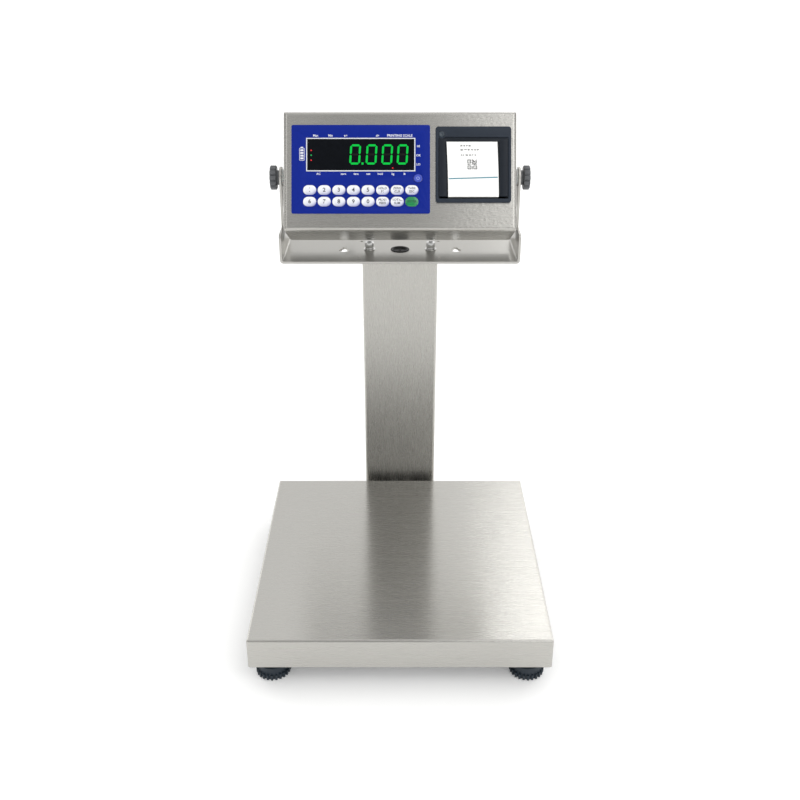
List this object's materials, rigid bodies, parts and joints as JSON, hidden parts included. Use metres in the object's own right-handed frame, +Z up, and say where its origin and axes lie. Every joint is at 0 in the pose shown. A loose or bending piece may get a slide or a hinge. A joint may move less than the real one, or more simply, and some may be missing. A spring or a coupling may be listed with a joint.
{
  "type": "label printing scale",
  "caption": "Bench scale with a stainless platform on levelling feet, a column, and a tilting indicator with keypad, display and label printer.",
  "frame": {"origin": "on the floor, under the middle of the whole object's box", "axes": "+Z up, -Y towards the person who reads the display, +X to that person's right"},
  "size_m": [0.3, 0.394, 0.4942],
  "materials": {
    "stainless": "brushed, grain along the sheet",
    "frame_steel": "satin",
    "fastener": "bright",
    "cell_aluminium": "machined satin",
    "foot_rubber": "moulded matt",
    "pad_rubber": "matt",
    "overlay_blue": "satin film",
    "window_black": "gloss",
    "key_white": "gloss",
    "key_green": "gloss",
    "key_blue": "gloss",
    "printer_plastic": "fine texture",
    "paper": "coated label",
    "knob_plastic": "matt",
    "nylon": "satin",
    "board_green": "solder mask",
    "module_dark": "matt",
    "battery_blue": "sleeve",
    "black_plastic": "matt",
    "roller_rubber": "ground",
    "head_ceramic": "glazed strip"
  },
  "bodies": {
    "base": {"base_frame": "frame_steel", "column_bars": "frame_steel", "foot_lock_nuts": "fastener", "load_cell": "cell_aluminium", "cell_spacer_lower": "frame_steel", "cell_bolts_lower": "fastener", "stop_screws": "fastener", "cell_lead": "pad_rubber", "column": "stainless", "column_bolts": "fastener", "head_bracket": "stainless", "bracket_screws": "fastener", "cable_grommet": "pad_rubber"},
    "live_frame": {"load_frame": "frame_steel", "cell_spacer_upper": "frame_steel", "cell_bolts_upper": "fastener", "pan_pads": "pad_rubber"},
    "pan": {"weighing_pan": "stainless"},
    "head": {"front_shell": "stainless", "rear_cover": "stainless", "cover_gasket": "pad_rubber", "cover_screws": "fastener", "pivot_washers": "nylon", "keypad_overlay": "overlay_blue", "display_window": "window_black", "display_module": "module_dark", "main_board": "board_green", "battery": "battery_blue", "cable_gland": "black_plastic", "power_inlet": "black_plastic", "printer_bezel": "printer_plastic", "print_head": "head_ceramic"},
    "knob_left": {"left_knob": "knob_plastic"},
    "knob_right": {"right_knob": "knob_plastic"},
    "door": {"printer_door": "printer_plastic", "label_strip": "paper"},
    "platen": {"platen_roller": "roller_rubber"},
    "roll": {"paper_roll": "paper"},
    "feed": {"feed_button": "printer_plastic"},
    "power": {"power_key": "key_blue"},
    "foot_front_left": {"foot_front_left": "foot_rubber"},
    "foot_front_right": {"foot_front_right": "foot_rubber"},
    "foot_rear_left": {"foot_rear_left": "foot_rubber"},
    "foot_rear_right": {"foot_rear_right": "foot_rubber"},
    "key_1": {"key_1": "key_white"},
    "key_2": {"key_2": "key_white"},
    "key_3": {"key_3": "key_white"},
    "key_4": {"key_4": "key_white"},
    "key_5": {"key_5": "key_white"},
    "key_hold": {"key_hold": "key_white"},
    "key_zero": {"key_zero": "key_white"},
    "key_tare": {"key_tare": "key_white"},
    "key_6": {"key_6": "key_white"},
    "key_7": {"key_7": "key_white"},
    "key_8": {"key_8": "key_white"},
    "key_9": {"key_9": "key_white"},
    "key_0": {"key_0": "key_white"},
    "key_print": {"key_print": "key_white"},
    "key_total": {"key_total": "key_white"},
    "key_enter": {"key_enter": "key_green"}
  },
  "joints": [
    {"name": "head_tilt", "type": "hinge", "parent": "base", "child": "head", "pos_m": [0, 0.13996, 0.424], "axis": [-1, 0, 0], "range_deg": [-60, 50]},
    {"name": "left_knob_turn", "type": "hinge", "parent": "head", "child": "knob_left", "pos_m": [-0.138, 0.13996, 0.424], "axis": [-1, 0, 0], "continuous": true},
    {"name": "right_knob_turn", "type": "hinge", "parent": "head", "child": "knob_right", "pos_m": [0.138, 0.13996, 0.424], "axis": [1, 0, 0], "continuous": true},
    {"name": "platform_give", "type": "slide", "parent": "base", "child": "live_frame", "axis": [0, 0, 1], "range_m": [-0.0005, 0], "stiffness_N_per_m": 200000, "deforming": ["load_cell"]},
    {"name": "pan_lift", "type": "slide", "parent": "live_frame", "child": "pan", "axis": [0, 0, 1], "range_m": [0, 0.08]},
    {"name": "door_open", "type": "hinge", "parent": "head", "child": "door", "pos_m": [0.079, 0.12572, 0.46927], "axis": [-1, 0, 0], "range_deg": [0, 75]},
    {"name": "platen_spin", "type": "hinge", "parent": "door", "child": "platen", "pos_m": [0.079, 0.10959, 0.41695], "axis": [-1, 0, 0], "continuous": true},
    {"name": "roll_spin", "type": "hinge", "parent": "head", "child": "roll", "pos_m": [0.079, 0.1362, 0.43438], "axis": [-1, 0, 0], "continuous": true},
    {"name": "feed_press", "type": "slide", "parent": "head", "child": "feed", "axis": [0, 0.8942, -0.4478], "range_m": [0, 0.0006], "stiffness_N_per_m": 1500},
    {"name": "power_press", "type": "slide", "parent": "head", "child": "power", "axis": [0, 0.8942, -0.4478], "range_m": [0, 0.0004], "stiffness_N_per_m": 2500},
    {"name": "foot_front_left_turn", "type": "hinge", "parent": "base", "child": "foot_front_left", "pos_m": [-0.128, -0.17504, 0.02], "axis": [0, 0, 1], "continuous": true},
    {"name": "foot_front_right_turn", "type": "hinge", "parent": "base", "child": "foot_front_right", "pos_m": [0.128, -0.17504, 0.02], "axis": [0, 0, 1], "continuous": true},
    {"name": "foot_rear_left_turn", "type": "hinge", "parent": "base", "child": "foot_rear_left", "pos_m": [-0.128, 0.08096, 0.02], "axis": [0, 0, 1], "continuous": true},
    {"name": "foot_rear_right_turn", "type": "hinge", "parent": "base", "child": "foot_rear_right", "pos_m": [0.128, 0.08096, 0.02], "axis": [0, 0, 1], "continuous": true},
    {"name": "key_1_press", "type": "slide", "parent": "head", "child": "key_1", "axis": [0, 0.8942, -0.4478], "range_m": [0, 0.0004], "stiffness_N_per_m": 2500},
    {"name": "key_2_press", "type": "slide", "parent": "head", "child": "key_2", "axis": [0, 0.8942, -0.4478], "range_m": [0, 0.0004], "stiffness_N_per_m": 2500},
    {"name": "key_3_press", "type": "slide", "parent": "head", "child": "key_3", "axis": [0, 0.8942, -0.4478], "range_m": [0, 0.0004], "stiffness_N_per_m": 2500},
    {"name": "key_4_press", "type": "slide", "parent": "head", "child": "key_4", "axis": [0, 0.8942, -0.4478], "range_m": [0, 0.0004], "stiffness_N_per_m": 2500},
    {"name": "key_5_press", "type": "slide", "parent": "head", "child": "key_5", "axis": [0, 0.8942, -0.4478], "range_m": [0, 0.0004], "stiffness_N_per_m": 2500},
    {"name": "key_hold_press", "type": "slide", "parent": "head", "child": "key_hold", "axis": [0, 0.8942, -0.4478], "range_m": [0, 0.0004], "stiffness_N_per_m": 2500},
    {"name": "key_zero_press", "type": "slide", "parent": "head", "child": "key_zero", "axis": [0, 0.8942, -0.4478], "range_m": [0, 0.0004], "stiffness_N_per_m": 2500},
    {"name": "key_tare_press", "type": "slide", "parent": "head", "child": "key_tare", "axis": [0, 0.8942, -0.4478], "range_m": [0, 0.0004], "stiffness_N_per_m": 2500},
    {"name": "key_6_press", "type": "slide", "parent": "head", "child": "key_6", "axis": [0, 0.8942, -0.4478], "range_m": [0, 0.0004], "stiffness_N_per_m": 2500},
    {"name": "key_7_press", "type": "slide", "parent": "head", "child": "key_7", "axis": [0, 0.8942, -0.4478], "range_m": [0, 0.0004], "stiffness_N_per_m": 2500},
    {"name": "key_8_press", "type": "slide", "parent": "head", "child": "key_8", "axis": [0, 0.8942, -0.4478], "range_m": [0, 0.0004], "stiffness_N_per_m": 2500},
    {"name": "key_9_press", "type": "slide", "parent": "head", "child": "key_9", "axis": [0, 0.8942, -0.4478], "range_m": [0, 0.0004], "stiffness_N_per_m": 2500},
    {"name": "key_0_press", "type": "slide", "parent": "head", "child": "key_0", "axis": [0, 0.8942, -0.4478], "range_m": [0, 0.0004], "stiffness_N_per_m": 2500},
    {"name": "key_print_press", "type": "slide", "parent": "head", "child": "key_print", "axis": [0, 0.8942, -0.4478], "range_m": [0, 0.0004], "stiffness_N_per_m": 2500},
    {"name": "key_total_press", "type": "slide", "parent": "head", "child": "key_total", "axis": [0, 0.8942, -0.4478], "range_m": [0, 0.0004], "stiffness_N_per_m": 2500},
    {"name": "key_enter_press", "type": "slide", "parent": "head", "child": "key_enter", "axis": [0, 0.8942, -0.4478], "range_m": [0, 0.0004], "stiffness_N_per_m": 2500}
  ],
  "couplings": [
    {"joint": "platen_spin", "follows": "roll_spin", "ratio": 3.4}
  ]
}
